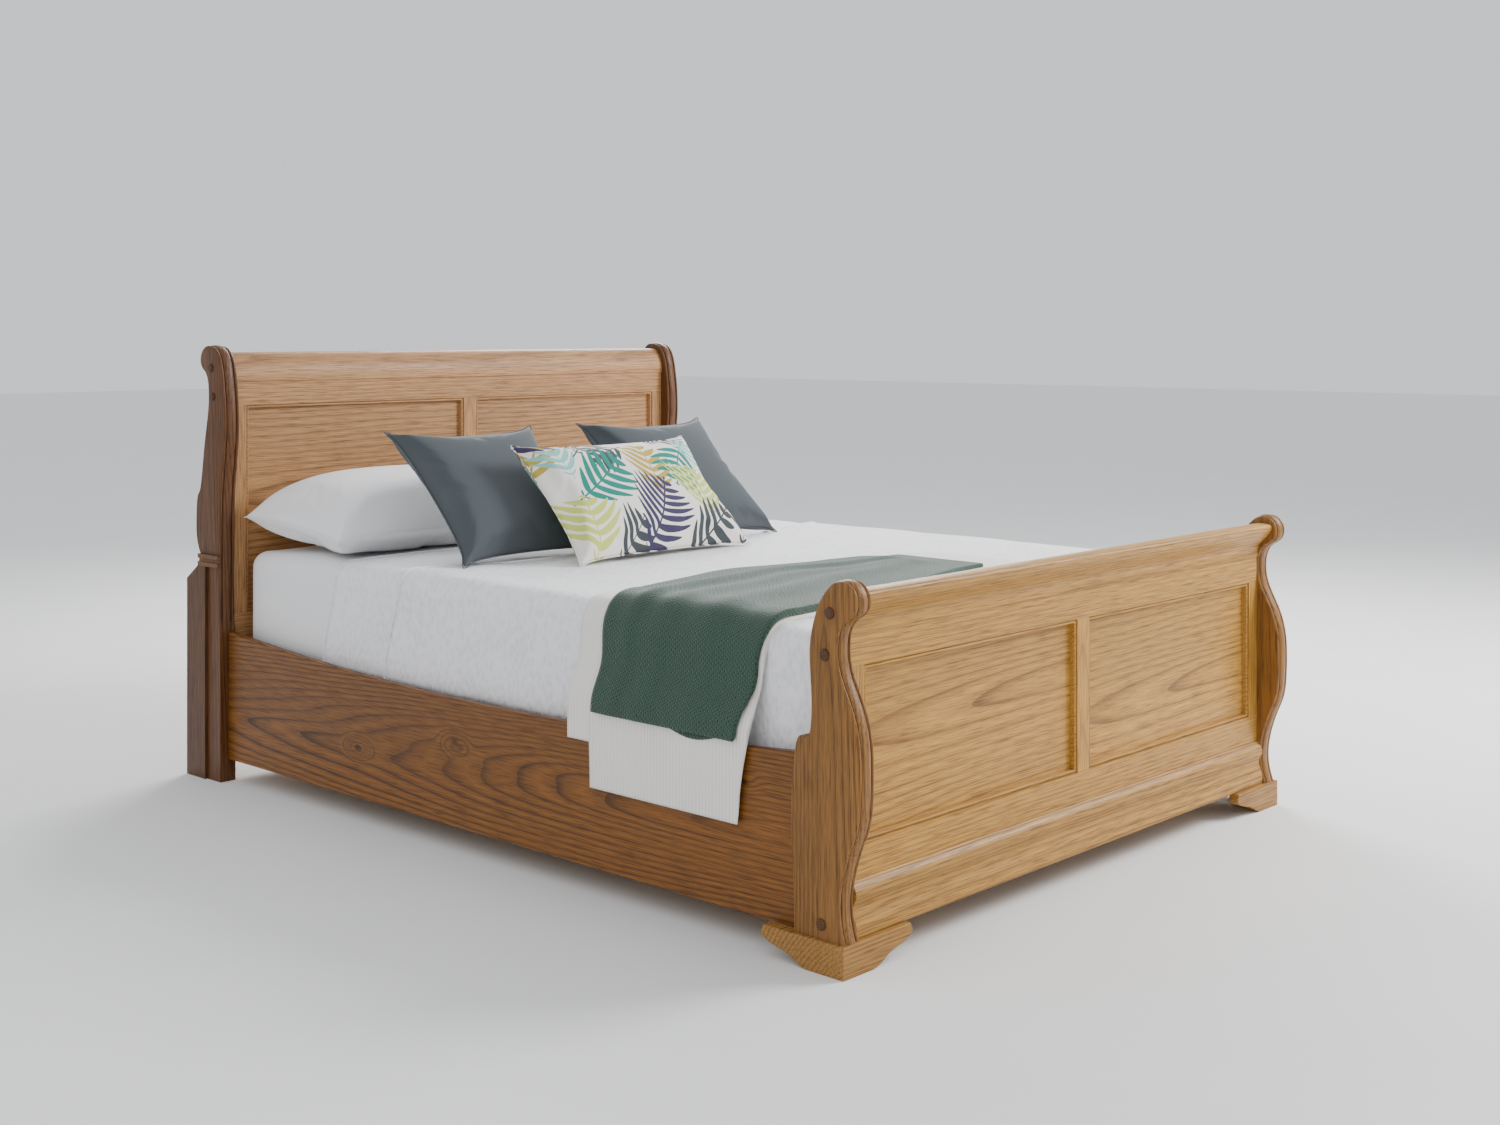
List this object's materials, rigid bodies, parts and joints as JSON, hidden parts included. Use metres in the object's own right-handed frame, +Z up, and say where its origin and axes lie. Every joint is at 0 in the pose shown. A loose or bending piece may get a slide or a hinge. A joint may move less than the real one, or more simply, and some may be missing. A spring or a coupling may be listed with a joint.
{
  "type": "sleigh bed",
  "caption": "Oak sleigh bed with scrolled panelled ends, deep swept side rails, bracket feet, lift-up storage platform, mattress and layered bedding.",
  "frame": {"origin": "centre of the bed's footprint, on the floor", "axes": "+X across the bed, +Y towards the headboard, +Z up"},
  "size_m": [1.664, 2.288, 1.13],
  "materials": {
    "oak_upright": "satin",
    "oak_rail": "satin",
    "oak_panel": "satin",
    "oak_peg": "satin",
    "plywood": "matte",
    "pine": "matte",
    "black_plastic": "matte",
    "zinc_steel": "satin",
    "black_steel": "satin",
    "strut_enamel": "gloss",
    "strut_chrome": "polished",
    "birch_slat": "satin",
    "webbing": "matte",
    "mattress_ticking": "matte",
    "white_matelasse": "matte",
    "cream_rib": "matte",
    "green_knit": "matte",
    "white_percale": "matte",
    "grey_linen": "matte",
    "leaf_print": "matte"
  },
  "bodies": {
    "frame": {"bearer_glides": "black_plastic", "bed_bolts": "zinc_steel", "bracket_fronts": "oak_rail", "bracket_sides": "oak_rail", "centre_bearer": "pine", "corner_plates": "zinc_steel", "floor_battens": "pine", "foot_bottom_rail": "oak_rail", "foot_glue_blocks": "pine", "foot_mullion": "oak_upright", "foot_panel_beads": "oak_rail", "foot_panel_left": "oak_panel", "foot_panel_right": "oak_panel", "foot_plinth": "oak_rail", "foot_post_left": "oak_upright", "foot_post_right": "oak_upright", "foot_scroll_rail": "oak_rail", "foot_stiles": "oak_upright", "foot_top_rail": "oak_rail", "head_base_board": "plywood", "head_bottom_rail": "oak_rail", "head_mullion": "oak_upright", "head_panel_beads": "oak_rail", "head_panel_left": "oak_panel", "head_panel_right": "oak_panel", "head_post_left": "oak_upright", "head_post_right": "oak_upright", "head_scroll_rail": "oak_rail", "head_stiles": "oak_upright", "head_top_rail": "oak_rail", "lift_base_plates": "black_steel", "lift_packers": "pine", "rear_leg_caps": "oak_upright", "rear_leg_left": "oak_upright", "rear_leg_right": "oak_upright", "side_ledges": "pine", "side_rail_left": "oak_rail", "side_rail_right": "oak_rail", "storage_floor": "plywood", "wooden_pegs": "oak_peg"},
    "arms": {"lift_arms": "black_steel"},
    "platform": {"platform_side_bars": "black_steel", "platform_end_bars": "black_steel", "platform_spine": "black_steel", "platform_slats": "birch_slat", "mattress_stop": "black_steel", "pull_strap": "webbing", "platform_hangers": "black_steel", "mattress": "mattress_ticking", "bedspread": "white_matelasse", "top_cover": "white_matelasse", "runner": "cream_rib", "throw": "green_knit", "pillow": "white_percale", "cushion_grey_left": "grey_linen", "cushion_grey_right": "grey_linen", "cushion_leaf": "leaf_print"},
    "strut_cylinders": {"strut_cylinders": "strut_enamel"},
    "strut_rods": {"strut_rods": "strut_chrome"}
  },
  "joints": [
    {"name": "arm_lift", "type": "hinge", "parent": "frame", "child": "arms", "pos_m": [0, 0.38375, 0.22455], "axis": [1, 0, 0], "range_deg": [0, 96.1]},
    {"name": "platform_tilt", "type": "hinge", "parent": "arms", "child": "platform", "pos_m": [0, 0.702, 0.258], "axis": [-1, 0, 0], "range_deg": [0, 131]},
    {"name": "strut_swing", "type": "hinge", "parent": "frame", "child": "strut_cylinders", "pos_m": [0, 0.63255, 0.10105], "axis": [1, 0, 0], "range_deg": [0, 7.15]},
    {"name": "strut_extend", "type": "slide", "parent": "strut_cylinders", "child": "strut_rods", "axis": [0, -0.7813, 0.6241], "range_m": [0, 0.088]}
  ],
  "couplings": [
    {"joint": "arm_lift", "follows": "platform_tilt", "ratio": 0.73282},
    {"joint": "strut_swing", "follows": "platform_tilt", "ratio": 0.053817},
    {"joint": "strut_extend", "follows": "platform_tilt", "m_per_rad": 0.038266}
  ]
}
